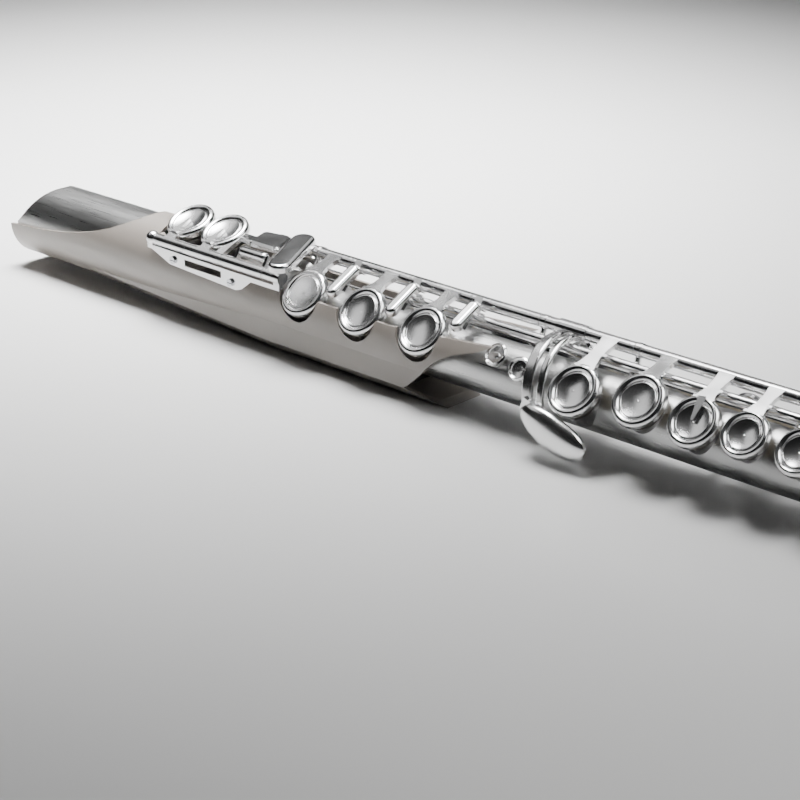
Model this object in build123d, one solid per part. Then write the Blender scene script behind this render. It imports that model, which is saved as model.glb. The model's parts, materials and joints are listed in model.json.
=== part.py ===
from build123d import *
import os
from math import atan2, cos, degrees, hypot, radians, sin, sqrt

# Concert flute lying on its keel. X runs along the tube from foot to crown, Z is up.
# Angles around the tube are measured from +Z towards -Y, in degrees.

# ---- driving dimensions, in millimetres -------------------------------------------------
TUBE_R = 9.9
BORE_R = 9.5
TOTAL_END = 695.0

FOOT_TUBE = (20.0, 150.0)
BODY_TUBE = (150.4, 452.0)
BARREL = (440.0, 492.0)
BARREL_R = 10.9
BARREL_BORE_R = 9.95

STACK_ANGLE = 53.0
RIM = 10.6
FOOT_ANGLE = 12.0
FOOT_RIM = 15.4
DS_ANGLE = -75.0
DS_RIM = 15.6
GS_ANGLE = -62.0
THUMB_ANGLE = -72.0

CUP_R = 8.7
MID_CUP_R = 7.4
SMALL_CUP_R = 5.6
RIM_INSET = 1.5
CHIMNEY_WALL = 0.6
PAD_GAP = 0.06
PAD_T = 1.3
DISH_Z = 1.7

ROD_R = 2.15
STEEL_R = 0.9
STEEL_BORE_R = 0.95
MAIN_LINE = (5.7, 16.9)
TRILL_LINE = (1.42, 12.82)
FOOT_LINE = (-14.2, 13.0)
DS_LINE = (11.6, 14.9)
THUMB_LINE = (13.2, -9.2)

STACK_OPEN = 5.5
FOOT_OPEN = 13.0
THUMB_OPEN = -6.0
SHELL_R = 14.8
SHELL_WALL = 1.05
SHELL_Z = 1.5
SHELL_END = 243.0
BELL_R = 13.7
KEEL_Z = -16.0
KEEL_START = 30.0
KEEL_LEVEL = 140.0
KEEL_STOP = 224.0
CUP_CLEAR_HEIGHT = 9.4

CROWN_PITCH = 0.7


# ---- helpers ----------------------------------------------------------------------------
def around(angle, distance, x=0.0):
    """Point at an angle and distance from the tube axis."""
    a = radians(angle)
    return Vector(x, -distance * sin(a), distance * cos(a))


def seat(x, angle, height, side=0.0):
    """Plane facing outwards at an angle; local Y runs round the tube towards smaller angles."""
    a = radians(angle)
    origin = around(angle, height, x) + Vector(0, cos(a), sin(a)) * side
    return Plane(origin=origin, x_dir=(1, 0, 0), z_dir=(0, -sin(a), cos(a)))


def bar_x(line, x0, x1, radius):
    """Solid cylinder along X on a line given as (y, z)."""
    return Pos((x0 + x1) / 2, line[0], line[1]) * Rot(0, 90, 0) * Cylinder(radius, x1 - x0)


def pipe_x(line, x0, x1, radius, bore):
    """Tube along X on a line."""
    return bar_x(line, x0, x1, radius) - bar_x(line, x0 - 1, x1 + 1, bore)


def cone_x(x0, x1, r0, r1):
    """Cone along X on the tube axis."""
    return Pos((x0 + x1) / 2, 0, 0) * Rot(0, 90, 0) * Cone(r0, r1, x1 - x0)


def turned(solid, line, angle):
    """Turn a solid about a rod line; a positive angle takes +Z towards -Y."""
    return solid.rotate(Axis((0, line[0], line[1]), (1, 0, 0)), angle)


def side_cut(points, depth=80.0):
    """Prism with an outline in the X-Z plane, centred on Y = 0."""
    outline = make_face(Polyline([(x, 0, z) for x, z in points], close=True))
    return extrude(outline, amount=depth / 2, dir=(0, 1, 0), both=True)


def curved_cut(curve, corners, depth=80.0):
    """Prism whose outline is a smooth curve closed by straight runs through the corners."""
    edge = Spline([(x, 0, z) for x, z in curve])
    closing = Polyline([(x, 0, z) for x, z in (curve[-1], *corners, curve[0])])
    return extrude(make_face([edge, closing]), amount=depth / 2, dir=(0, 1, 0), both=True)


def local_line(line, angle):
    """A rod line as (side, height) in the frame of an angle."""
    a = radians(angle)
    y, z = line
    return y * cos(a) + z * sin(a), -y * sin(a) + z * cos(a)


def line_angle(line):
    """Angle round the tube at which a rod line lies."""
    return degrees(atan2(-line[0], line[1]))


def one(shape):
    """The shape as a single solid."""
    solids = shape.solids()
    return max(solids, key=lambda s: s.volume)


# ---- key cups, pads and arms ------------------------------------------------------------
def cup(radius):
    """Key cup with a rolled rim, a ring and a dished centre; Z = 0 is the tone-hole rim."""
    inner = radius - 0.65
    lower = 0.35
    dish_depth = 2.35 - DISH_Z
    sphere_r = ((0.62 * radius) ** 2 + dish_depth ** 2) / (2 * dish_depth)
    dish_mid = DISH_Z + sphere_r - sqrt(sphere_r ** 2 - (0.31 * radius) ** 2)
    outline = [
        Line((inner, 0, lower), (radius, 0, lower)),
        Line((radius, 0, lower), (radius, 0, 1.5)),
        ThreePointArc((radius, 0, 1.5), (radius - 0.33, 0, 2.5), (0.87 * radius, 0, 2.9)),
        ThreePointArc((0.87 * radius, 0, 2.9), (0.79 * radius, 0, 2.75), (0.715 * radius, 0, 2.2)),
        Line((0.715 * radius, 0, 2.2), (0.68 * radius, 0, 2.05)),
        Line((0.68 * radius, 0, 2.05), (0.67 * radius, 0, 2.35)),
        ThreePointArc((0.67 * radius, 0, 2.35), (0.645 * radius, 0, 2.48), (0.62 * radius, 0, 2.35)),
        ThreePointArc((0.62 * radius, 0, 2.35), (0.31 * radius, 0, dish_mid), (0, 0, DISH_Z)),
        Line((0, 0, DISH_Z), (0, 0, PAD_T)),
        Line((0, 0, PAD_T), (inner, 0, PAD_T)),
        Line((inner, 0, PAD_T), (inner, 0, lower)),
    ]
    return revolve(make_face(outline), Axis.Z)


def pad(radius):
    """Felt and skin pad that fills a cup of this radius, with its centre washer's recess."""
    disc = Pos(0, 0, (PAD_GAP + PAD_T) / 2) * Cylinder(radius - 0.7, PAD_T - PAD_GAP)
    recess = Pos(0, 0, PAD_GAP + 0.2) * Cylinder(0.3 * radius, 0.4)
    return disc - recess


def pad_space(radius):
    """Room that the pad and the tone-hole rim need inside a cup."""
    return Pos(0, 0, PAD_T - 4.0) * Cylinder(radius - 0.65, 8.0)


def tab(radius, line_local, width, rim, pointed=False):
    """Arm from a rod line to a cup, drawn in the cup's own frame."""
    side, height = line_local
    height = height - rim
    sign = 1.0 if side > 0 else -1.0
    reach = 0.80 * radius * sign
    root = (side + sign * 0.2, height + 1.4)
    tip = (reach, 2.05)
    steps = hypot(tip[0] - root[0], tip[1] - root[1])
    tilt = degrees(atan2(tip[1] - root[1], abs(tip[0] - root[0])))
    half = width / 2
    plan = [
        (-half, 0),
        (-half * 0.72, steps * 0.35),
        (-half * 0.72, steps * 0.62),
        (-half * 1.15, steps),
        (half * 1.15, steps),
        (half * 0.72, steps * 0.62),
        (half * 0.72, steps * 0.35),
        (half, 0),
    ]
    plate = extrude(make_face(Polyline(plan, close=True)), amount=0.75, both=True)
    step = Pos(0, steps - 0.5, 0.75) * Box(width * 1.2, 0.9, 0.5)
    plate = plate + step
    plate = Rot(tilt, 0, 0) * plate
    if sign > 0:
        plate = Rot(0, 0, 180) * plate
    plate = Pos(0, root[0], root[1]) * plate
    if pointed:
        plate = plate + point(radius, sign)
    return plate


def point(radius, sign):
    """Tapered French point that lies over the cup and ends at its centre."""
    plan = [(-1.5, 0), (-0.45, radius * 0.92), (0.45, radius * 0.92), (1.5, 0)]
    blade = extrude(make_face(Polyline(plan, close=True)), amount=1.15)
    blade = Rot(-3.0, 0, 0) * blade
    spin = 180 if sign > 0 else 0
    return Pos(0, sign * radius * 0.93, 2.35) * Rot(0, 0, spin) * blade


def hinge_tube(line, x0, x1, radius=ROD_R, bore=STEEL_BORE_R):
    """Key tube with a shallow line turned near each end."""
    tube = bar_x(line, x0, x1, radius)
    for x in (x0 + 0.9, x1 - 0.9):
        tube -= pipe_x(line, x - 0.12, x + 0.12, radius + 0.5, radius - 0.12)
    return tube


def finish_key(parts, line, bore=STEEL_BORE_R):
    """Join a key's pieces and bore it for its steel."""
    x0, x1 = -50, 800
    whole = parts[0]
    for piece in parts[1:]:
        whole = whole + piece
    return one(whole - bar_x(line, x0, x1, bore))


class Key:
    """A cup key: where its tone hole is, what it turns on, and how far it stands open."""

    def __init__(self, name, x, radius, span, angle=STACK_ANGLE, rim=RIM, line=MAIN_LINE,
                 open_by=-STACK_OPEN, side=0.0, pointed=False, tube_r=ROD_R):
        self.name = name
        self.x = x
        self.radius = radius
        self.span = span
        self.angle = angle
        self.rim = rim
        self.line = line
        self.open_by = open_by
        self.side = side
        self.pointed = pointed
        self.tube_r = tube_r

    def frame(self):
        return seat(self.x, self.angle, self.rim, self.side)

    def cup_and_arm(self):
        side, height = local_line(self.line, self.angle)
        arm = tab(self.radius, (side - self.side, height), 0.72 * self.radius, self.rim, self.pointed)
        return self.frame() * (cup(self.radius) + arm - pad_space(self.radius))

    def key(self, extras=()):
        tube = hinge_tube(self.line, self.span[0], self.span[1], self.tube_r)
        whole = finish_key([tube, self.cup_and_arm()] + list(extras), self.line)
        return turned(whole, self.line, self.open_by)

    def pad(self):
        return turned(self.frame() * pad(self.radius), self.line, self.open_by)

    def hole_r(self):
        return self.radius - RIM_INSET - CHIMNEY_WALL

    def chimney(self):
        depth = self.rim - 4.0
        return seat(self.x, self.angle, 4.0, self.side) * Pos(0, 0, depth / 2) * Cylinder(
            self.radius - RIM_INSET, depth)

    def hole(self):
        return seat(self.x, self.angle, 4.0, self.side) * Pos(0, 0, 10) * Cylinder(self.hole_r(), 20)


RH3 = Key("ring_finger_key", 157.9, CUP_R, (150.0, 165.6))
RH2 = Key("middle_finger_key", 184.9, CUP_R, (178.6, 192.2))
RH1 = Key("index_finger_key", 211.9, CUP_R, (205.6, 219.2))
G_KEY = Key("g_key", 275.9, CUP_R, (266.6, 284.6), side=-3.2)
A_KEY = Key("a_key", 298.4, CUP_R, (287.4, 309.6))
BB_KEY = Key("b_flat_key", 318.6, 8.2, (309.8, 327.6), side=-1.0, pointed=True)
B_KEY = Key("b_key", 335.7, MID_CUP_R, (327.8, 343.6))
C_KEY = Key("upper_c_key", 354.0, MID_CUP_R, (346.4, 362.6))
CS_KEY = Key("c_sharp_key", 372.0, SMALL_CUP_R, (362.8, 379.6))
STACK = [RH3, RH2, RH1, G_KEY, A_KEY, BB_KEY, B_KEY, C_KEY, CS_KEY]

TRILL_D = Key("d_trill_key", 403.0, SMALL_CUP_R, (395.2, 407.6), line=TRILL_LINE, open_by=0.0, tube_r=1.5)
TRILL_DS = Key("d_sharp_trill_key", 387.0, SMALL_CUP_R, (222.0, 394.9), line=TRILL_LINE, open_by=0.0,
               tube_r=1.5)
GS_KEY = Key("g_sharp_key", 262.0, MID_CUP_R, (250.6, 266.4), angle=GS_ANGLE, open_by=0.0)
FOOT_C = Key("low_c_key", 94.0, 8.8, (87.2, 102.4), angle=FOOT_ANGLE, rim=FOOT_RIM, line=FOOT_LINE,
             open_by=FOOT_OPEN, pointed=True)
FOOT_CS = Key("low_c_sharp_key", 112.0, 8.8, (102.6, 121.6), angle=FOOT_ANGLE, rim=FOOT_RIM,
              line=FOOT_LINE, open_by=FOOT_OPEN, pointed=True)
FOOT_DS = Key("low_d_sharp_key", 134.0, MID_CUP_R, (125.6, 142.4), angle=DS_ANGLE, rim=DS_RIM,
              line=DS_LINE, open_by=0.0, tube_r=1.7)
THUMB_B = Key("thumb_b_key", 322.0, MID_CUP_R, (312.0, 329.8), angle=THUMB_ANGLE, line=THUMB_LINE,
              open_by=THUMB_OPEN, tube_r=1.9)
BODY_HOLES = STACK + [TRILL_D, TRILL_DS, GS_KEY, THUMB_B]
FOOT_HOLES = [FOOT_C, FOOT_CS, FOOT_DS]

MAIN_POSTS = [148.6, 249.2, 286.0, 345.0, 381.0]
POST_HALF = 1.2
TRILL_ROD = (195.6, 409.4)
TRILL_POSTS = [194.2, 409.4]
FOOT_STEEL = (84.4, 149.4)
FOOT_POSTS = [84.4, 149.8]
DS_POSTS = [124.0, 144.0]
THUMB_POSTS = [310.4, 348.0]
FIXED_STEELS = [
    (MAIN_LINE, (146.8, 382.6)),
    (THUMB_LINE, (309.2, 349.2)),
    (DS_LINE, (122.8, 145.2)),
]

TOUCH_SPANS = {
    "b_flat_lever": (165.8, 178.4, 170.8),
    "d_trill_touch": (192.4, 205.4, 197.8),
    "d_sharp_trill_touch": (219.4, 247.8, 224.3),
}
TOUCH_LEAN = 0.8
TOUCH_LENGTH = 14.6
LAST_TOUCH_LENGTH = 12.4
TOUCH_SLOPE = 20.5


# ---- tubes ------------------------------------------------------------------------------
def drawn_tube(x0, x1, keys):
    """Silver tube with a chimney at every tone hole."""
    tube = bar_x((0, 0), x0, x1, TUBE_R)
    for key in keys:
        tube += key.chimney()
    tube -= bar_x((0, 0), x0 - 1, x1 + 1, BORE_R)
    for key in keys:
        tube -= key.hole()
    return one(tube)


VENTS = ((241.4, 47.8), (252.0, 57.6))
VENT_R = 3.9
VENT_FOOT_R = 3.1


def vent_seats():
    return [seat(x, angle, 0.0) for x, angle in VENTS]


def body_tube():
    tube = drawn_tube(BODY_TUBE[0], BODY_TUBE[1], BODY_HOLES)
    for place in vent_seats():
        boss = place * Pos(0, 0, 9.3) * Cylinder(VENT_FOOT_R, 3.6)
        tube += boss
        tube -= place * Pos(0, 0, 10) * Cylinder(VENT_FOOT_R - 1.0, 8)
    tube -= bar_x((0, 0), 150, 452, BORE_R)
    return one(tube)


def vent_caps():
    """Two screwed caps with a rolled rim and a small screw in the dish."""
    caps = []
    top = 11.1
    profile = [
        (0, 0.0),
        (VENT_R - 0.4, 0.0),
        (VENT_R, 0.4),
        (VENT_R, 0.9),
        (VENT_R - 0.5, 1.3),
        (VENT_R - 1.0, 0.9),
        (VENT_R - 1.2, 0.55),
        (1.0, 0.35),
        (0, 0.35),
    ]
    for place in vent_seats():
        outline = make_face(Polyline([(r, 0, z) for r, z in profile], close=True))
        head = revolve(outline, Axis.Z)
        plug = Pos(0, 0, -0.9) * Cylinder(VENT_FOOT_R - 1.05, 1.8)
        screw = Pos(0, 0, 0.65) * Cylinder(0.85, 0.6) - Pos(0, 0, 0.9) * Box(2.4, 0.25, 0.3)
        caps.append(place * Pos(0, 0, top) * (head + plug + screw))
    return caps


def foot_tube():
    return drawn_tube(FOOT_TUBE[0], FOOT_TUBE[1], FOOT_HOLES)


def foot_bell():
    """Flared silver end with a slanting mouth, round the foot tube."""
    line = (0, SHELL_Z)
    bell = bar_x(line, 3.0, 76.0, BELL_R)
    flare = cone_x(2.0, FOOT_TUBE[0], 12.0, BARREL_BORE_R)
    bell -= flare
    bell -= bar_x(line, 24.0, 77.0, BELL_R - 1.0)
    bell -= bar_x((0, 0), 2, 80, BARREL_BORE_R)
    mouth = [(3.4, 2.4), (7.4, 6.9), (10.6, 10.9), (14.0, 14.2), (18.4, 15.6)]
    bell -= curved_cut(mouth, [(18.4, 30), (-5, 30), (-5, 2.4)])
    ring = bar_x(line, 68.0, 72.0, BELL_R - 0.5) - bar_x((0, 0), 60, 80, BARREL_BORE_R)
    for angle in (45, 135, 225, 315):
        ring -= Plane(origin=around(angle, 11.4, 70.0), z_dir=(1, 0, 0)) * Cylinder(0.7, 10)
    return one(bell + ring)


def keel_outline(x, spread, inset):
    """Keel section: full-width near the stack, inside the round shell at the foot."""
    half = 8.0 - inset * 0.6
    low = KEEL_Z + inset
    points = [
        (-13.9 + inset, -2.0),
        (-13.5 + inset, -11.2),
        (-half, low),
        (half, low),
        (13.5 - inset, -11.2),
        (13.9 - inset, -2.0),
    ]
    shifted = [(y * (1 - 0.22 * (1 - spread)), z * (0.72 + 0.28 * spread)) for y, z in points]
    return make_face(Polyline([(x, y, z) for y, z in shifted], close=True))


def keel(inset):
    """Keel that deepens from the foot and then runs level, so that the flute rests on a flat."""
    deep = keel_outline(KEEL_LEVEL, 1.0, inset)
    rise = loft([keel_outline(KEEL_START + 2 * inset, 0.0, inset), deep], ruled=True)
    return rise + extrude(deep, amount=KEEL_STOP - KEEL_LEVEL, dir=(1, 0, 0))


def tail_sleeve():
    """Satin shell that grips the foot bell, opens under the keys and ends in a tongue."""
    line = (0, SHELL_Z)
    shell = bar_x(line, 0.0, SHELL_END, SHELL_R) + keel(0.0)
    hollow = bar_x(line, -1.0, SHELL_END + 1, SHELL_R - SHELL_WALL) + keel(1.3)
    shell -= hollow
    rim = [(-5, 0.4), (8.5, 1.6), (24.5, 3.0), (39.7, 5.4), (53.1, 8.9), (63.9, 13.2), (71.5, 17.0)]
    shell -= curved_cut(rim, [(71.5, 40), (-5, 40)])
    tongue = [(SHELL_END + 0.5, 12.4), (240.0, 9.9), (230.0, 6.3), (222.0, 2.2), (214.5, -4.2), (206.5, -11.2)]
    shell -= curved_cut(tongue, [(221.0, KEEL_Z - 0.1), (221.0, -30), (260, -30), (260, 12.4)])
    window = [(82.0, 13.2), (84.5, 12.6), (144.0, 12.6), (147.2, 8.2), (200.0, 8.2), (250.0, 11.6), (250.0, 40),
              (82.0, 40)]
    shell -= side_cut(window)
    for key in (RH3, RH2, RH1):
        shell -= seat(key.x, STACK_ANGLE, CUP_CLEAR_HEIGHT) * Pos(0, 0, 10) * Cylinder(CUP_R + 0.5, 20)
    shell -= seat(FOOT_DS.x, DS_ANGLE, 5.0) * Pos(0, 0, 10) * Cylinder(MID_CUP_R + 0.7, 20)
    for key in (FOOT_C, FOOT_CS):
        shell -= seat(key.x, FOOT_ANGLE, 5.0) * Pos(0, 0, 10) * Cylinder(key.radius - RIM_INSET + 0.5, 20)
    for x in DS_POSTS:
        shell -= seat(x, line_angle(DS_LINE), 12.0) * Cylinder(1.9, 12)
    for place in bracket_screw_seats():
        shell -= place * Cylinder(0.75, 6)
    for x in SLEEVE_SCREWS:
        shell -= Pos(x, 0, KEEL_Z) * Cylinder(1.05, 30)
    return one(shell)


SLEEVE_SCREWS = (168.0, 196.0)


def sleeve_saddles():
    """Two saddles that carry the tube on the floor of the sleeve."""
    saddles = []
    for x in SLEEVE_SCREWS:
        block = Pos(x, 0, -11.0) * Box(7.0, 13.0, 8.0)
        block = block & (bar_x((0, SHELL_Z), x - 5, x + 5, SHELL_R - SHELL_WALL - 0.05) + keel(1.35))
        block -= bar_x((0, 0), x - 5, x + 5, TUBE_R + 0.02)
        block -= Pos(x, 0, KEEL_Z) * Cylinder(1.0, 12)
        saddles.append(one(block))
    return saddles


def sleeve_screws():
    """Screws through the keel into the saddles, with heads sunk flush with the keel."""
    return [Pos(x, 0, KEEL_Z + 2.4) * Cylinder(0.95, 4.6) for x in SLEEVE_SCREWS]


# ---- foot bracket -----------------------------------------------------------------------
BRACKET_Y = -15.4
BRACKET_T = 1.0
BRACKET_TOP = 10.5
BRACKET_SCREWS = ((97.0, 8.0), (127.0, 6.6))


def bracket_screw_seats():
    return [Plane(origin=(x, BRACKET_Y, z), x_dir=(1, 0, 0), z_dir=(0, -1, 0)) for x, z in BRACKET_SCREWS]


def foot_bracket():
    """Plate under the foot rod, with a slot and a post at each end."""
    outline = [(82.6, 11.0), (84.0, 10.2), (95.0, 6.0), (129.5, 4.4), (132.5, 5.4), (137.2, 9.0), (151.2, 9.0),
               (151.2, BRACKET_TOP), (82.6, BRACKET_TOP + 0.5)]
    plate = extrude(make_face(Polyline([(x, 0, z) for x, z in outline], close=True)), amount=BRACKET_T / 2,
                    dir=(0, 1, 0), both=True)
    plate = Pos(0, BRACKET_Y, 0) * plate
    slot = Pos(112.5, BRACKET_Y, 8.2) * Box(19.0, 4.0, 2.5)
    plate -= slot
    for x, z in BRACKET_SCREWS:
        plate += Pos(x, (BRACKET_Y - 13.9) / 2, z) * Rot(90, 0, 0) * Cylinder(1.7, abs(BRACKET_Y + 13.9))
    for place in bracket_screw_seats():
        plate -= place * Cylinder(0.75, 30)
    y, z = FOOT_LINE
    ball = Pos(84.4, y, z) * Sphere(2.6)
    lug = Pos(84.4, (y + BRACKET_Y) / 2 - 0.2, 11.0) * Box(2.6, 1.8, 2.6)
    end = bar_x(FOOT_LINE, 148.4, 151.2, 2.3)
    end_lug = Pos(149.8, (y + BRACKET_Y) / 2 - 0.2, 11.0) * Box(2.8, 1.8, 2.6)
    plate = plate + ball + lug + end + end_lug
    shell = bar_x((0, SHELL_Z), 60, 160, SHELL_R + 0.02)
    plate -= shell
    return one(plate - bar_x(FOOT_LINE, 83.9, 150.4, STEEL_BORE_R))


def bracket_screws():
    screws = []
    for place in bracket_screw_seats():
        head = place * Pos(0, 0, BRACKET_T / 2 + 0.4) * Cylinder(1.35, 0.8)
        slot = place * Pos(0, 0, BRACKET_T / 2 + 0.7) * Box(3.0, 0.35, 0.3)
        shank = place * Pos(0, 0, -1.2) * Cylinder(0.7, 3.4)
        screws.append(one(head + shank - slot))
    return screws


# ---- rods, ribs and posts ---------------------------------------------------------------
def post(line, x, half, head_r, stem_r, base=TUBE_R):
    """Post whose stem stands on the tube and whose head holds a steel."""
    y, z = line
    distance = hypot(y, z)
    angle = degrees(atan2(-y, z))
    stem_len = distance - base + 0.3
    stem = seat(x, angle, base - 0.3 + stem_len / 2) * Cylinder(stem_r, stem_len)
    foot = seat(x, angle, base + 0.55) * Cylinder(stem_r + 0.7, 1.4)
    head = fillet(bar_x(line, x - half, x + half, head_r).edges(), 0.35)
    whole = stem + foot + head
    return one(whole - bar_x((0, 0), x - 9, x + 9, TUBE_R + 0.01))


def posts_on(line, xs, half=POST_HALF, head_r=2.3, stem_r=1.0, bore=STEEL_BORE_R):
    made = []
    for x in xs:
        made.append(one(post(line, x, half, head_r, stem_r) - bar_x(line, x - 9, x + 9, bore)))
    return made


def rib(line, x0, x1, spread):
    """Strap soldered along the tube, on which the posts stand."""
    angle = line_angle(line)
    ring = pipe_x((0, 0), x0, x1, TUBE_R + 0.7, TUBE_R + 0.01)
    wedge = seat((x0 + x1) / 2, angle, 11.0) * Box(x1 - x0 + 2, spread, 8)
    return ring & wedge


def main_rib():
    strap = rib(MAIN_LINE, 151.5, 384.0, 6.0)
    for line, xs in ((MAIN_LINE, MAIN_POSTS), (TRILL_LINE, TRILL_POSTS)):
        for x in xs:
            strap -= seat(x, line_angle(line), 10.0) * Cylinder(1.75, 6)
    for key in BODY_HOLES:
        strap -= seat(key.x, key.angle, 4.0, key.side) * Pos(0, 0, 10) * Cylinder(key.radius - RIM_INSET + 0.1, 20)
    return one(strap)


def needle_springs():
    """Steel wires from the posts to the keys, under the main rod."""
    springs = []
    spot = around(line_angle(MAIN_LINE), 13.4)
    for x in MAIN_POSTS[:-1]:
        springs.append(bar_x((spot.Y, spot.Z), x + 1.05, x + 19.0, 0.28))
    return springs


# ---- touches ----------------------------------------------------------------------------
def touch_bar(length, width, thick):
    """Long rounded touch bar; local Y runs from the rod to its free end."""
    bar = extrude(SlotOverall(length, width, rotation=90), amount=thick)
    top = bar.faces().sort_by(Axis.Z)[-1]
    bar = fillet(top.edges(), thick * 0.48)
    return Pos(0, length / 2, 0) * bar


def stack_touch(name):
    """Touch key between two cups, with its adjusting screw and lug beneath."""
    x0, x1, centre = TOUCH_SPANS[name]
    side, height = local_line(MAIN_LINE, STACK_ANGLE)
    length = LAST_TOUCH_LENGTH if name == "d_sharp_trill_touch" else TOUCH_LENGTH
    lean = degrees(atan2(TOUCH_LEAN, length))
    bar = Rot(0, 0, 180 - lean) * Rot(TOUCH_SLOPE, 0, 0) * touch_bar(length, 4.4, 2.7)
    place = seat(centre + TOUCH_LEAN, STACK_ANGLE, 0.0)
    bar = Pos(0, side - 2.4, height + 3.7) * bar
    neck = Pos(0, side - 1.4, height + 2.8) * Box(3.0, 3.2, 4.2)
    lug = Pos(0.8, side - 10.8, height + 5.9) * Box(3.2, 2.6, 2.4)
    screw = Pos(-0.6, side - 11.2, height + 5.8) * Cylinder(0.8, 3.4)
    nub = Pos(0, side - 3.2, height + 3.5) * Cylinder(0.7, 2.7)
    tube = hinge_tube(MAIN_LINE, x0, x1)
    pieces = [tube, place * bar, place * neck, place * lug, place * screw, place * nub]
    return turned(finish_key(pieces, MAIN_LINE), MAIN_LINE, -3.0)


def trill_fin(x):
    """Short fin on a trill rod, pushed by the touch above it."""
    y, z = TRILL_LINE
    angle = STACK_ANGLE
    side, height = local_line(TRILL_LINE, angle)
    return seat(x, angle, 0.0) * Pos(0, side + 1.0, height - 0.1) * Box(2.4, 2.4, 0.9)


def d_trill_key():
    rod = bar_x(TRILL_LINE, TRILL_ROD[0], TRILL_ROD[1] - 0.6, STEEL_R)
    sleeve = bar_x(TRILL_LINE, 195.6, 221.7, 1.5)
    tube = bar_x(TRILL_LINE, TRILL_D.span[0], TRILL_D.span[1], 1.5)
    fin = trill_fin(TOUCH_SPANS["d_trill_touch"][2] + TOUCH_LEAN)
    return one(rod + sleeve + tube + TRILL_D.cup_and_arm() + fin)


def d_sharp_trill_key():
    fin = trill_fin(TOUCH_SPANS["d_sharp_trill_touch"][2] + TOUCH_LEAN)
    return TRILL_DS.key([fin])


# ---- G sharp lever ----------------------------------------------------------------------
ARM_R = (15.1, 16.8)
ARM_TILT = 8.0
SPOON_CENTRE = (273.0, -19.0, -6.2)
SPOON_SLOPE = 20.0
SPOON_HALF = (13.0, 5.6, 3.0)


def crescent_arm(x, width, start, stop):
    """Curved arm that wraps over the tube at a constant distance."""
    section = Pos((ARM_R[0] + ARM_R[1]) / 2, 0) * RectangleRounded(ARM_R[1] - ARM_R[0], width, 0.7)
    plane = Plane(origin=(x, 0, 0), x_dir=around(start, 1.0), z_dir=around(start + 90, -1.0))
    sweep_arc = revolve(plane * section, Axis((x, 0, 0), (1, 0, 0)), stop - start)
    return sweep_arc.rotate(Axis((x, 0, 0), tuple(around(45, 1.0))), ARM_TILT)


def spoon():
    """Bean-shaped finger plate at the end of the crescent."""
    bean = scale(Sphere(1.0), by=SPOON_HALF)
    place = Plane(origin=SPOON_CENTRE, x_dir=(cos(radians(SPOON_SLOPE)), 0, -sin(radians(SPOON_SLOPE))),
                  z_dir=(0, -1, 0))
    return place * bean


def g_sharp_key():
    lever = crescent_arm(259.0, 3.8, -16.0, 106.0) + crescent_arm(264.0, 2.4, -16.0, 98.0)
    bridge = Pos(263.8, -16.6, -2.0) * Rot(0, 20, 0) * Box(8.6, 2.4, 4.6)
    root = bar_x(MAIN_LINE, 255.0, 266.3, 2.6)
    joined = lever + bridge + root + spoon()
    tube = hinge_tube(MAIN_LINE, GS_KEY.span[0], GS_KEY.span[1])
    return finish_key([tube, joined, GS_KEY.cup_and_arm()], MAIN_LINE)


# ---- foot keys --------------------------------------------------------------------------
def low_c_sharp_key():
    """Cup key with a flat bevelled plate for the little finger."""
    arm = Pos(119.4, -9.6, 16.3) * Rot(24, 0, 0) * Box(3.2, 11.0, 1.6)
    outline = [(126.5, -6.8), (141.2, -6.8), (133.7, 7.0), (121.9, 5.0)]
    plate = extrude(Plane.XY.offset(17.6) * make_face(Polyline(outline, close=True)), amount=1.9)
    plate = fillet(plate.edges().filter_by(Axis.Z), 2.0)
    plate = chamfer(plate.edges().group_by(Axis.Z)[-1], 0.8)
    link = Pos(123.6, -3.6, 18.5) * Box(11.6, 4.4, 1.5)
    tube = hinge_tube(FOOT_LINE, FOOT_CS.span[0], FOOT_CS.span[1])
    rest = turned(FOOT_CS.cup_and_arm(), FOOT_LINE, FOOT_OPEN)
    space = turned(FOOT_CS.frame() * pad_space(FOOT_CS.radius), FOOT_LINE, FOOT_OPEN)
    return finish_key([tube, rest, (arm + link + plate) - space], FOOT_LINE)


ROLLER_LINE = (-11.7, 17.2)
ROLLER_SPAN = (128.4, 141.0)
ROLLER_R = 1.8
YOKE_T = 1.2


def low_c_key():
    """Cup key pinned to the foot steel, with a yoke that carries the roller."""
    near = hinge_tube(FOOT_LINE, FOOT_C.span[0], FOOT_C.span[1])
    cup_side = turned(FOOT_C.cup_and_arm(), FOOT_LINE, FOOT_OPEN)
    return finish_key([near, cup_side], FOOT_LINE, STEEL_R)


def roller_yoke():
    yoke = hinge_tube(FOOT_LINE, 121.8, 142.6)
    y, z = ROLLER_LINE
    rise = degrees(atan2(z - FOOT_LINE[1], y - FOOT_LINE[0]))
    for x in (ROLLER_SPAN[0] - YOKE_T / 2 - 0.15, ROLLER_SPAN[1] + YOKE_T / 2 + 0.15):
        yoke += Pos(x, (y + FOOT_LINE[0]) / 2, (z + FOOT_LINE[1]) / 2) * Rot(rise, 0, 0) * Box(YOKE_T, 6.8, 2.2)
    pin = bar_x(ROLLER_LINE, ROLLER_SPAN[0] - 1.35, ROLLER_SPAN[1] + 1.35, 0.45)
    return finish_key([yoke, pin], FOOT_LINE, STEEL_R)


def roller():
    """Little finger roller with rounded ends, free on its pin."""
    body = bar_x(ROLLER_LINE, ROLLER_SPAN[0], ROLLER_SPAN[1], ROLLER_R)
    body = fillet(body.edges(), 1.2)
    return body - bar_x(ROLLER_LINE, 110, 150, 0.5)


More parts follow.
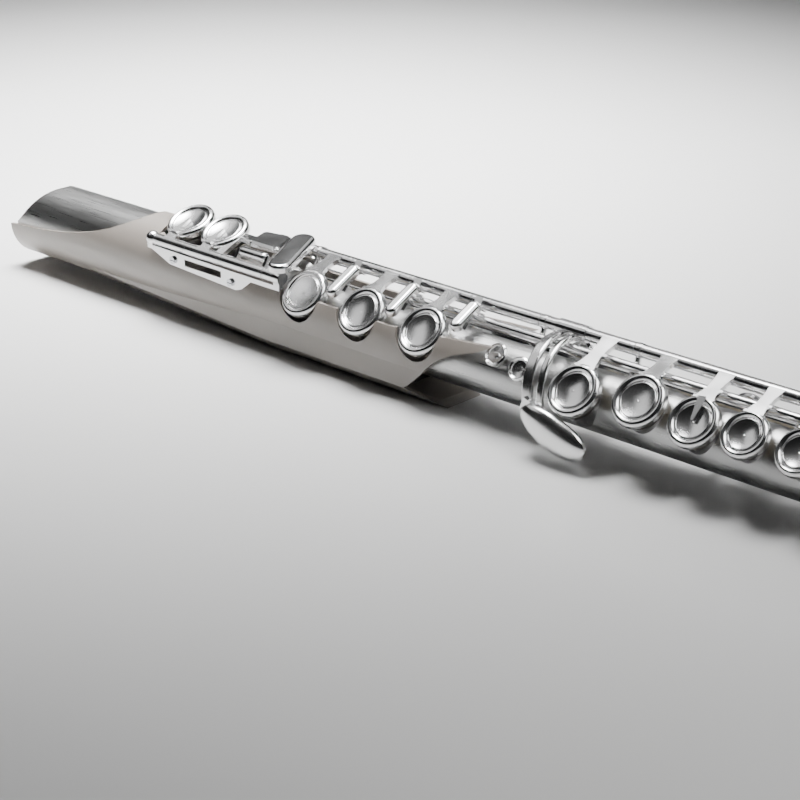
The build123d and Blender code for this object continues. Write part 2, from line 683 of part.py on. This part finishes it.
def d_sharp_touch():
    """Wide rounded bar that crosses the foot and pushes the low D sharp key's tail."""
    bar = Pos(152.6, -18.2, 16.2) * Rot(0, 0, 27.3) * Rot(3.6, 0, 0) * touch_bar(31.6, 8.4, 2.8)
    block = Pos(146.6, -13.4, 15.9) * Box(3.0, 3.6, 3.4)
    nub = Pos(139.6, 4.2, 17.45) * Cylinder(0.6, 1.6)
    tube = hinge_tube(FOOT_LINE, 142.9, 148.2)
    return finish_key([tube, bar, block, nub], FOOT_LINE)


def low_d_sharp_key():
    tail = Pos(139.4, 7.2, 16.0) * Box(3.0, 8.6, 1.1)
    return FOOT_DS.key([tail])


# ---- thumb keys -------------------------------------------------------------------------
def thumb_b_key():
    return THUMB_B.key()


def thumb_b_flat_lever():
    side, height = local_line(THUMB_LINE, THUMB_ANGLE)
    plate = extrude(SlotOverall(14.0, 8.0, rotation=0), amount=1.6)
    plate = fillet(plate.faces().sort_by(Axis.Z)[-1].edges(), 0.7)
    spot = seat(338.4, THUMB_ANGLE, 0.0) * Pos(0, 2.6, 13.4)
    arm = seat(338.4, THUMB_ANGLE, 0.0) * Pos(0, side - 4.4, height + 2.8) * Rot(-21, 0, 0) * Box(4.0, 9.6, 1.6)
    tube = hinge_tube(THUMB_LINE, 330.0, 346.6, 1.9)
    return finish_key([tube, spot * plate, arm], THUMB_LINE)


# ---- barrel and head joint --------------------------------------------------------------
HEAD_START = 457.0
TAPER_START = 510.0
HEAD_END = 684.0
HEAD_END_R = 9.0
HEAD_WALL = 0.4
EMBOUCHURE_X = 628.0
LIP_ANGLE = 53.0
CORK_SPAN = (645.0, 660.0)


def head_radius(x):
    if x <= TAPER_START:
        return TUBE_R
    return TUBE_R + (HEAD_END_R - TUBE_R) * (x - TAPER_START) / (HEAD_END - TAPER_START)


def barrel():
    """Socket for the head joint, with a ring at each end and one in the middle."""
    whole = pipe_x((0, 0), BARREL[0], BARREL[1], BARREL_R, BARREL_BORE_R)
    for x in (BARREL[0] + 1.6, (BARREL[0] + BARREL[1]) / 2, BARREL[1] - 1.6):
        ring = fillet(bar_x((0, 0), x - 1.6, x + 1.6, BARREL_R + 0.8).edges(), 0.6)
        whole += ring - bar_x((0, 0), x - 3, x + 3, BARREL_BORE_R)
    return one(whole)


def embouchure_hole(depth):
    return seat(EMBOUCHURE_X, LIP_ANGLE, 4.0) * extrude(Ellipse(6.0, 5.1), amount=depth)


def head_tube():
    outer = bar_x((0, 0), HEAD_START, TAPER_START, TUBE_R)
    outer += cone_x(TAPER_START, HEAD_END, TUBE_R, HEAD_END_R)
    inner = bar_x((0, 0), HEAD_START - 1, TAPER_START, TUBE_R - HEAD_WALL)
    inner += cone_x(TAPER_START, HEAD_END + 0.01, TUBE_R - HEAD_WALL, HEAD_END_R - HEAD_WALL)
    return one(outer - inner - embouchure_hole(20))


def lip_plate():
    """Curved plate for the lower lip, standing off the head tube."""
    blank = seat(EMBOUCHURE_X, LIP_ANGLE, 0.0) * extrude(Ellipse(23.0, 13.4), amount=16.0)
    skin = pipe_x((0, 0), EMBOUCHURE_X - 30, EMBOUCHURE_X + 30, 14.4, 13.2)
    plate = skin & blank
    return one(plate - embouchure_hole(20))


def embouchure_riser():
    """Wall between head tube and lip plate round the hole."""
    wall = seat(EMBOUCHURE_X, LIP_ANGLE, 6.0) * extrude(Ellipse(7.4, 6.4), amount=9.0)
    wall = wall & pipe_x((0, 0), 600, 660, 13.19, head_radius(EMBOUCHURE_X) + 0.06)
    return one(wall - embouchure_hole(20))


def stopper_cork():
    radius = head_radius(CORK_SPAN[1]) - HEAD_WALL - 0.08
    cork = bar_x((0, 0), CORK_SPAN[0] + 1.0, CORK_SPAN[1] - 1.0, radius)
    return cork - bar_x((0, 0), 600, 700, 1.6)


def stopper_plates():
    radius = head_radius(CORK_SPAN[1]) - HEAD_WALL - 0.12
    plates = []
    for x in (CORK_SPAN[0], CORK_SPAN[1] - 1.0):
        plates.append(bar_x((0, 0), x, x + 1.0, radius) - bar_x((0, 0), 600, 700, 1.6))
    return plates


def stopper_screw():
    """Threaded rod through the stopper, with its head against the front plate."""
    rod = bar_x((0, 0), CORK_SPAN[0], 690.0, 1.6)
    head = bar_x((0, 0), CORK_SPAN[0] - 0.8, CORK_SPAN[0], 3.2)
    return rod + head


def crown():
    """Cap nut that draws the stopper towards the end of the head tube."""
    skirt = bar_x((0, 0), HEAD_END + 0.2, 692.0, 10.2)
    skirt = fillet(skirt.edges().group_by(Axis.X)[-1], 2.2)
    knob = bar_x((0, 0), 690.0, TOTAL_END, 6.0)
    knob = fillet(knob.edges().group_by(Axis.X)[-1], 2.0)
    band = fillet(bar_x((0, 0), HEAD_END + 0.2, HEAD_END + 2.6, 10.9).edges(), 0.6)
    whole = skirt + knob + band
    return one(whole - bar_x((0, 0), HEAD_END - 5, 692.5, 1.66))


# ---- all nodes --------------------------------------------------------------------------
def touch_nodes():
    return {name: [stack_touch(name)] for name in TOUCH_SPANS}


def key_nodes():
    made = {}
    for key in STACK:
        made[key.name] = [key.key()]
    made["d_trill_key"] = [d_trill_key()]
    made["d_sharp_trill_key"] = [d_sharp_trill_key()]
    made["g_sharp_key"] = [g_sharp_key()]
    made["low_c_key"] = [low_c_key()]
    made["low_c_sharp_key"] = [low_c_sharp_key()]
    made["low_d_sharp_key"] = [low_d_sharp_key()]
    made["thumb_b_key"] = [thumb_b_key()]
    for key in BODY_HOLES + FOOT_HOLES:
        stem = key.name.removesuffix("_key")
        made[stem + "_pad"] = [key.pad()]
    return made


def fixed_nodes():
    posts = posts_on(MAIN_LINE, MAIN_POSTS)
    posts += posts_on(TRILL_LINE, TRILL_POSTS, half=1.1, head_r=1.9)
    posts += posts_on(THUMB_LINE, THUMB_POSTS)
    posts += posts_on(DS_LINE, DS_POSTS, head_r=1.9)
    return {
        "body_tube": [body_tube()],
        "foot_tube": [foot_tube()],
        "foot_bell": [foot_bell()],
        "tail_sleeve": [tail_sleeve()],
        "sleeve_saddles": sleeve_saddles(),
        "foot_bracket": [foot_bracket()],
        "screws": bracket_screws() + sleeve_screws(),
        "barrel": [barrel()],
        "vent_caps": vent_caps(),
        "main_rib": [main_rib()],
        "posts": posts,
        "pivot_steels": [bar_x(line, x0, x1, STEEL_R) for line, (x0, x1) in FIXED_STEELS],
        "needle_springs": needle_springs(),
    }


def moving_nodes():
    made = key_nodes()
    made.update(touch_nodes())
    made["foot_steel"] = [bar_x(FOOT_LINE, FOOT_STEEL[0], FOOT_STEEL[1], STEEL_R)]
    made["roller_yoke"] = [roller_yoke()]
    made["roller"] = [roller()]
    made["d_sharp_touch"] = [d_sharp_touch()]
    made["thumb_b_flat_lever"] = [thumb_b_flat_lever()]
    made["head_tube"] = [head_tube()]
    made["lip_plate"] = [lip_plate()]
    made["embouchure_riser"] = [embouchure_riser()]
    made["stopper_cork"] = [stopper_cork()]
    made["stopper_plates"] = stopper_plates()
    made["stopper_screw"] = [stopper_screw()]
    made["crown"] = [crown()]
    return made


NODES = {**fixed_nodes(), **moving_nodes()}
BOXES = [solid.bounding_box() for solids in NODES.values() for solid in solids]
LOW = Vector(*(min(getattr(box.min, axis) for box in BOXES) for axis in "XYZ"))
HIGH = Vector(*(max(getattr(box.max, axis) for box in BOXES) for axis in "XYZ"))
ORIGIN = Vector((LOW.X + HIGH.X) / 2, (LOW.Y + HIGH.Y) / 2, LOW.Z)

os.makedirs("parts", exist_ok=True)
for name, solids in NODES.items():
    placed = [solid.moved(Location(-ORIGIN)) for solid in solids]
    export_step(placed[0] if len(placed) == 1 else Compound(children=placed), f"parts/{name}.step")
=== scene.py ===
import json
import math

import bmesh
import bpy
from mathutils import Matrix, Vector


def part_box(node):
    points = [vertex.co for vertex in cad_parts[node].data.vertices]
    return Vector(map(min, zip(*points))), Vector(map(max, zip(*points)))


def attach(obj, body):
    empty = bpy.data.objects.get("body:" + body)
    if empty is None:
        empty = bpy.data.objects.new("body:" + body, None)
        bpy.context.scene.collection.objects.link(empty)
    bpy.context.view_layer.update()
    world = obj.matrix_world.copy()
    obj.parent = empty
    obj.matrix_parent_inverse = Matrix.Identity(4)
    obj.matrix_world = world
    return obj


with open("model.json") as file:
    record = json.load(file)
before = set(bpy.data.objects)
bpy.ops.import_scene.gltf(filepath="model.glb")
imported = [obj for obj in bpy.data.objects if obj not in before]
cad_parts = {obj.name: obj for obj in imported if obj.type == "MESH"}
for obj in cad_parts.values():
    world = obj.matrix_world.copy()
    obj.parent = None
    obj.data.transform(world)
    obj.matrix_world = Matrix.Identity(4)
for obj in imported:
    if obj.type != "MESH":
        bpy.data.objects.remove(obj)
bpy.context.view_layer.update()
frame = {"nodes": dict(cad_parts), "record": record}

MM = 0.001

# ---- places taken from the frame --------------------------------------------------------
tube_low, tube_high = (Vector(corner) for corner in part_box("barrel"))
foot_tip_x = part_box("tail_sleeve")[0][0]
AXIS = Vector((foot_tip_x, (tube_low.y + tube_high.y) / 2, (tube_low.z + tube_high.z) / 2))
FLOOR_Z = Vector(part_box("tail_sleeve")[0]).z


def at(x, y, z):
    """Point given in millimetres from the foot tip, on the tube axis."""
    return AXIS + Vector((x, y, z)) * MM


# ---- materials --------------------------------------------------------------------------
def new_material(name):
    material = bpy.data.materials.new(name)
    material.use_nodes = True
    tree = material.node_tree
    shader = tree.nodes["Principled BSDF"]
    return material, tree, shader


def noise(tree, scale, detail=3.0, stretch=(1.0, 1.0, 1.0), roughness=0.5):
    coords = tree.nodes.new("ShaderNodeTexCoord")
    mapping = tree.nodes.new("ShaderNodeMapping")
    mapping.inputs["Scale"].default_value = stretch
    texture = tree.nodes.new("ShaderNodeTexNoise")
    texture.inputs["Scale"].default_value = scale
    texture.inputs["Detail"].default_value = detail
    texture.inputs["Roughness"].default_value = roughness
    tree.links.new(coords.outputs["Object"], mapping.inputs["Vector"])
    tree.links.new(mapping.outputs["Vector"], texture.inputs["Vector"])
    return texture


def ramp(tree, source, low, high, from_low=0.3, from_high=0.7):
    """Scalar map of a noise value on to a range."""
    node = tree.nodes.new("ShaderNodeMapRange")
    node.inputs["From Min"].default_value = from_low
    node.inputs["From Max"].default_value = from_high
    node.inputs["To Min"].default_value = low
    node.inputs["To Max"].default_value = high
    tree.links.new(source, node.inputs["Value"])
    return node.outputs["Result"]


def tint(tree, factor, dark, light):
    node = tree.nodes.new("ShaderNodeMix")
    node.data_type = "RGBA"
    node.inputs["A"].default_value = (*dark, 1.0)
    node.inputs["B"].default_value = (*light, 1.0)
    tree.links.new(factor, node.inputs["Factor"])
    return node.outputs["Result"]


def bump(tree, shader, height, strength, distance):
    node = tree.nodes.new("ShaderNodeBump")
    node.inputs["Strength"].default_value = strength
    node.inputs["Distance"].default_value = distance
    tree.links.new(height, node.inputs["Height"])
    tree.links.new(node.outputs["Normal"], shader.inputs["Normal"])


def polished_metal(name, dark, light, rough, haze):
    """Plated metal: faint tarnish tint, polishing haze and hairline wipe marks."""
    material, tree, shader = new_material(name)
    shader.inputs["Metallic"].default_value = 1.0
    cloud = noise(tree, 90.0, 4.0)
    hair = noise(tree, 2600.0, 2.0, stretch=(0.08, 1.0, 1.0))
    tone = ramp(tree, cloud.outputs["Fac"], 0.0, 1.0)
    tree.links.new(tint(tree, tone, dark, light), shader.inputs["Base Color"])
    gloss = ramp(tree, cloud.outputs["Fac"], rough, rough + haze)
    tree.links.new(gloss, shader.inputs["Roughness"])
    bump(tree, shader, hair.outputs["Fac"], 0.05, 0.00001)
    return material


def brushed_metal(name, dark, light, rough, spread, strength):
    """Satin silver with fine brushing along the tube."""
    material, tree, shader = new_material(name)
    shader.inputs["Metallic"].default_value = 1.0
    grain = noise(tree, 3200.0, 4.0, stretch=(0.02, 1.0, 1.0))
    cloud = noise(tree, 45.0, 3.0)
    tone = ramp(tree, cloud.outputs["Fac"], 0.0, 1.0)
    tree.links.new(tint(tree, tone, dark, light), shader.inputs["Base Color"])
    gloss = ramp(tree, grain.outputs["Fac"], rough, rough + spread)
    tree.links.new(gloss, shader.inputs["Roughness"])
    bump(tree, shader, grain.outputs["Fac"], strength, 0.00003)
    return material


def satin_shell(name, dark, light):
    """Warm off-white lacquer with a fine eggshell texture."""
    material, tree, shader = new_material(name)
    cloud = noise(tree, 28.0, 4.0)
    fine = noise(tree, 2400.0, 3.0)
    tone = ramp(tree, cloud.outputs["Fac"], 0.0, 1.0)
    tree.links.new(tint(tree, tone, dark, light), shader.inputs["Base Color"])
    tree.links.new(ramp(tree, cloud.outputs["Fac"], 0.33, 0.42), shader.inputs["Roughness"])
    shader.inputs["Coat Weight"].default_value = 0.25
    shader.inputs["Coat Roughness"].default_value = 0.22
    bump(tree, shader, fine.outputs["Fac"], 0.12, 0.00003)
    return material


def matt(name, dark, light, scale, rough, strength):
    """Cork, pad skin and rubber."""
    material, tree, shader = new_material(name)
    grain = noise(tree, scale, 5.0)
    tone = ramp(tree, grain.outputs["Fac"], 0.0, 1.0)
    tree.links.new(tint(tree, tone, dark, light), shader.inputs["Base Color"])
    gloss = ramp(tree, grain.outputs["Fac"], rough, rough + 0.12)
    tree.links.new(gloss, shader.inputs["Roughness"])
    bump(tree, shader, grain.outputs["Fac"], strength, 0.00015)
    return material


# The two colours are the darkest and lightest tones of each finish.
LOOKS = {
    "polished_silver": polished_metal(
        "polished_silver_look", (0.84, 0.84, 0.845), (0.92, 0.92, 0.92), rough=0.17, haze=0.07),
    "satin_silver": brushed_metal(
        "satin_silver_look", (0.38, 0.38, 0.378), (0.48, 0.48, 0.477),
        rough=0.26, spread=0.12, strength=0.25),
    "shell": satin_shell("shell_look", (0.20, 0.179, 0.159), (0.23, 0.207, 0.186)),
    "steel": polished_metal(
        "steel_look", (0.50, 0.51, 0.53), (0.62, 0.63, 0.65), rough=0.16, haze=0.1),
    "pad_skin": matt(
        "pad_skin_look", (0.60, 0.50, 0.34), (0.80, 0.71, 0.54),
        scale=900.0, rough=0.5, strength=0.3),
    "cork": matt(
        "cork_look", (0.32, 0.19, 0.10), (0.62, 0.44, 0.27), scale=500.0, rough=0.75, strength=0.6),
    "saddle_rubber": matt(
        "saddle_rubber_look", (0.03, 0.03, 0.03), (0.07, 0.07, 0.07),
        scale=800.0, rough=0.6, strength=0.3),
}

for entry in frame["record"]["subparts"]:
    node = frame["nodes"][entry["node"]]
    node.data.materials.clear()
    node.data.materials.append(LOOKS[entry["material_slot"]])


# ---- finger plate of the crescent lever -------------------------------------------------
# Lengths in millimetres and angles in degrees. The half towards the lever's arms keeps
# the outline of the plain plate, and the free end is blunter.
SPOON_CENTRE = (273.0, -19.0, -6.2)
SPOON_SLOPE = 20.0
SPOON_LENGTH = 13.05
SPOON_WIDTH = 5.65
SPOON_DEPTH = 3.03
SPOON_BEND = 1.1
SPOON_BLUNT = 2.9
SPOON_RINGS = 40
SPOON_SIDES = 48


def spoon_plate():
    """Blunt bean with a domed face, laid over the plain finger plate of the lever."""
    slope = math.radians(SPOON_SLOPE)
    along = Vector((math.cos(slope), 0.0, -math.sin(slope)))
    up = Vector((math.sin(slope), 0.0, math.cos(slope)))
    out = Vector((0.0, -1.0, 0.0))
    centre = at(*SPOON_CENTRE)
    rings, sides = SPOON_RINGS, SPOON_SIDES
    shape = bmesh.new()
    rows = []
    for i in range(1, rings):
        t = -math.cos(math.pi * i / rings)
        swell = math.sqrt(1.0 - t * t) if t < 0 else math.sqrt(1.0 - t ** SPOON_BLUNT)
        bend = SPOON_BEND * max(t, 0.0) ** 2
        row = []
        for k in range(sides):
            turn = 2.0 * math.pi * k / sides
            c, s = math.cos(turn), math.sin(turn)
            across = c * SPOON_WIDTH * swell + bend
            depth = s * SPOON_DEPTH * swell
            point = centre + (along * t * SPOON_LENGTH + up * across + out * depth) * MM
            row.append(shape.verts.new(point))
        rows.append(row)
    for first, second in zip(rows, rows[1:]):
        for k in range(sides):
            n = (k + 1) % sides
            shape.faces.new((first[k], second[k], second[n], first[n]))
    for row, end in ((rows[0], -1.0), (rows[-1], 1.0)):
        offset = along * end * SPOON_LENGTH + up * SPOON_BEND * max(end, 0.0)
        tip = shape.verts.new(centre + offset * MM)
        for k in range(sides):
            pair = (row[k], row[(k + 1) % sides])
            shape.faces.new((tip, pair[0], pair[1]) if end < 0 else (tip, pair[1], pair[0]))
    bmesh.ops.recalc_face_normals(shape, faces=shape.faces)
    mesh = bpy.data.meshes.new("g_sharp_finger_plate")
    shape.to_mesh(mesh)
    shape.free()
    mesh.polygons.foreach_set("use_smooth", [True] * len(mesh.polygons))
    mesh.materials.append(LOOKS["polished_silver"])
    piece = bpy.data.objects.new("g_sharp_finger_plate", mesh)
    bpy.context.collection.objects.link(piece)
    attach(piece, "g_sharp_key")


spoon_plate()


# ---- floor, lights and camera -----------------------------------------------------------
FLOOR_REACH = 6.0
FLOOR_GAP = 0.0001
FLOOR_ROUGHNESS = 0.36


def backdrop():
    """Pale studio floor, softly glossy."""
    mesh = bpy.data.meshes.new("studio_floor")
    far = FLOOR_REACH
    corners = [(-far, -far, 0), (far, -far, 0), (far, far, 0), (-far, far, 0)]
    mesh.from_pydata(corners, [], [(0, 1, 2, 3)])
    floor = bpy.data.objects.new("studio_floor", mesh)
    floor.location.z = FLOOR_Z - FLOOR_GAP
    bpy.context.collection.objects.link(floor)
    material, tree, shader = new_material("studio_floor_look")
    cloud = noise(tree, 3.0, 2.0)
    tone = ramp(tree, cloud.outputs["Fac"], 0.0, 1.0)
    colour = tint(tree, tone, (0.60, 0.60, 0.597), (0.63, 0.63, 0.627))
    tree.links.new(colour, shader.inputs["Base Color"])
    shader.inputs["Roughness"].default_value = FLOOR_ROUGHNESS
    mesh.materials.append(material)


def softbox(name, place, target, size, power, spread=180.0):
    data = bpy.data.lights.new(name, "AREA")
    data.spread = math.radians(spread)
    data.shape = "RECTANGLE"
    data.size = size[0]
    data.size_y = size[1]
    data.energy = power
    light = bpy.data.objects.new(name, data)
    light.location = place
    light.rotation_euler = (Vector(target) - Vector(place)).to_track_quat("-Z", "Y").to_euler()
    bpy.context.collection.objects.link(light)


def blend_value(tree, source, from_low, from_high, low, high):
    node = tree.nodes.new("ShaderNodeMapRange")
    node.interpolation_type = "SMOOTHSTEP"
    node.inputs["From Min"].default_value = from_low
    node.inputs["From Max"].default_value = from_high
    node.inputs["To Min"].default_value = low
    node.inputs["To Max"].default_value = high
    tree.links.new(source, node.inputs["Value"])
    return node.outputs["Result"]


WALL_DIRECTION = (-0.72, 0.68, 0.15)
WALL_LIGHT = 0.80
ROOM_LIGHT = 0.10


def studio_world():
    """Dark room with one bright wall behind and to the left of the flute."""
    world = bpy.data.worlds.new("studio_world")
    world.use_nodes = True
    tree = world.node_tree
    coords = tree.nodes.new("ShaderNodeTexCoord")
    facing = tree.nodes.new("ShaderNodeVectorMath")
    facing.operation = "DOT_PRODUCT"
    facing.inputs[1].default_value = Vector(WALL_DIRECTION).normalized()
    split = tree.nodes.new("ShaderNodeSeparateXYZ")
    tree.links.new(coords.outputs["Generated"], facing.inputs[0])
    tree.links.new(coords.outputs["Generated"], split.inputs["Vector"])
    wall = blend_value(tree, facing.outputs["Value"], 0.30, 0.98, 0.0, 1.0)
    low = blend_value(tree, split.outputs["Z"], 0.20, 0.80, 1.0, 0.40)
    product = tree.nodes.new("ShaderNodeMath")
    product.operation = "MULTIPLY"
    tree.links.new(wall, product.inputs[0])
    tree.links.new(low, product.inputs[1])
    level = tree.nodes.new("ShaderNodeMath")
    level.operation = "MULTIPLY_ADD"
    level.inputs[1].default_value = WALL_LIGHT
    level.inputs[2].default_value = ROOM_LIGHT
    tree.links.new(product.outputs["Value"], level.inputs[0])
    tree.links.new(level.outputs["Value"], tree.nodes["Background"].inputs["Strength"])
    bpy.context.scene.world = world


def studio():
    """Key light over the back left, a long bank for the key tops, and three weak fills."""
    centre = at(230.0, 0.0, 0.0)
    pool = at(-60.0, 150.0, 0.0)
    softbox("key_softbox", pool + Vector((0.0, 0.0, 0.55)), pool, (0.42, 0.42), 7.4, 72.0)
    softbox("left_bank", centre + Vector((-0.72, -0.16, 0.74)), centre, (0.95, 0.34), 0.8)
    softbox("back_softbox", centre + Vector((-0.25, 0.75, 0.60)), centre, (0.9, 0.35), 0.5)
    head = at(590.0, 60.0, 0.0)
    softbox("head_softbox", head + Vector((0.10, 0.10, 0.60)), head, (0.5, 0.5), 1.8, 90.0)
    softbox("right_strip", centre + Vector((0.55, 0.35, 0.75)), centre, (0.12, 0.6), 0.8)
    studio_world()


# Place in millimetres, as at() takes it, angles in degrees.
CAMERA_PLACE = (641.2, -468.1, 235.1)
CAMERA_AZIMUTH = 43.82
CAMERA_ELEVATION = 21.72
CAMERA_LENS = 94.5
CAMERA_SENSOR = 36.0


def camera():
    a = math.radians(CAMERA_AZIMUTH)
    e = math.radians(CAMERA_ELEVATION)
    back = Vector((math.sin(a) * math.cos(e), -math.cos(a) * math.cos(e), math.sin(e)))
    data = bpy.data.cameras.new("photo_camera")
    data.lens = CAMERA_LENS
    data.sensor_width = CAMERA_SENSOR
    data.clip_start = 0.01
    view = bpy.data.objects.new("photo_camera", data)
    view.location = at(*CAMERA_PLACE)
    view.rotation_euler = back.to_track_quat("Z", "Y").to_euler()
    bpy.context.collection.objects.link(view)
    bpy.context.scene.camera = view


backdrop()
studio()
camera()
